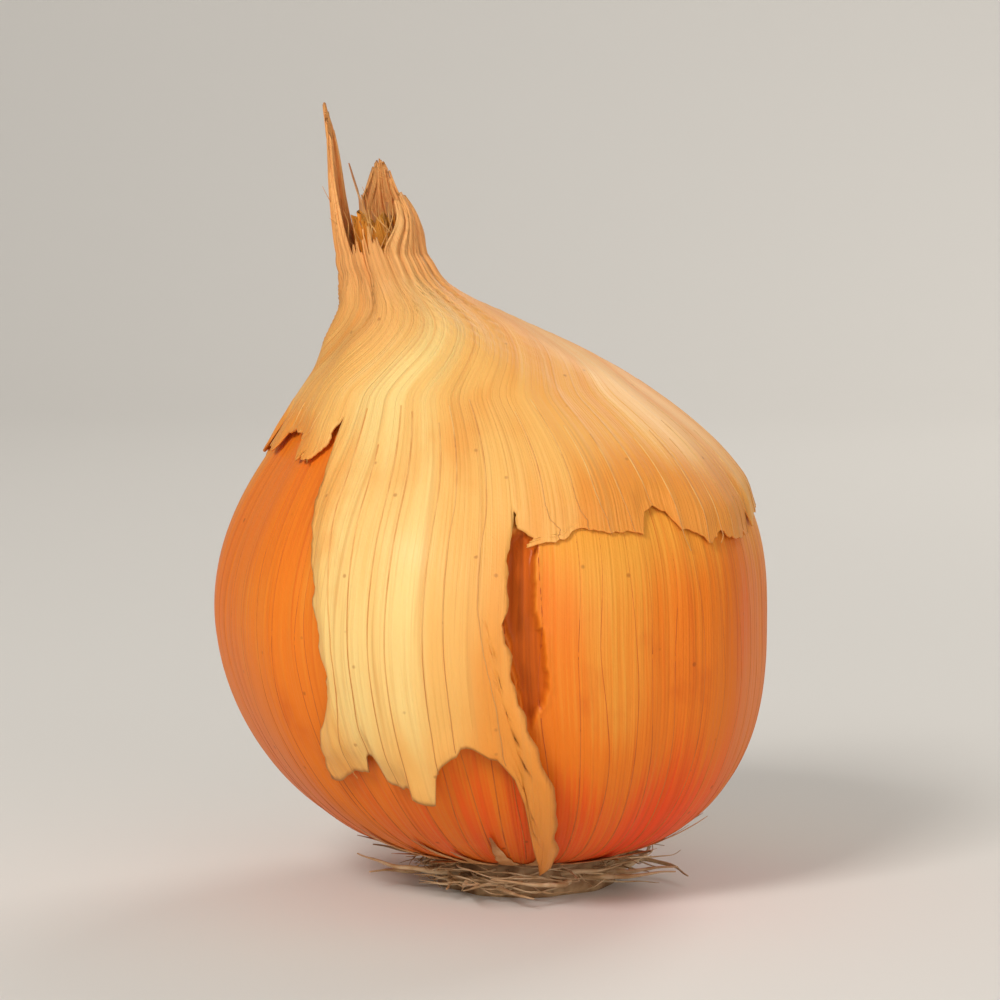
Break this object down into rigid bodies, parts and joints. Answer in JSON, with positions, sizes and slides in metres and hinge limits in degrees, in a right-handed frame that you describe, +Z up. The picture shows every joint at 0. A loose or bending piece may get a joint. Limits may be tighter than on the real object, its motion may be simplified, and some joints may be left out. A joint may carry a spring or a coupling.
{
  "type": "onion set",
  "caption": "Small dry onion bulb for planting: a round golden body under a torn papery outer skin, with a withered leaning neck and a tuft of dried rootlets.",
  "frame": {"origin": "centre of the root plate's flat underside, on which the bulb stands", "axes": "+Z up through the bulb towards its neck, -X the side to which the neck leans, -Y the front with the long tongue of outer skin"},
  "size_m": [0.0199, 0.0207, 0.0282],
  "materials": {
    "bulb_skin": "satin",
    "dry_outer_skin": "satin",
    "dry_roots": "matte"
  },
  "bodies": {
    "root": {"bulb": "bulb_skin", "outer_skin": "dry_outer_skin", "roots": "dry_roots"}
  },
  "joints": []
}
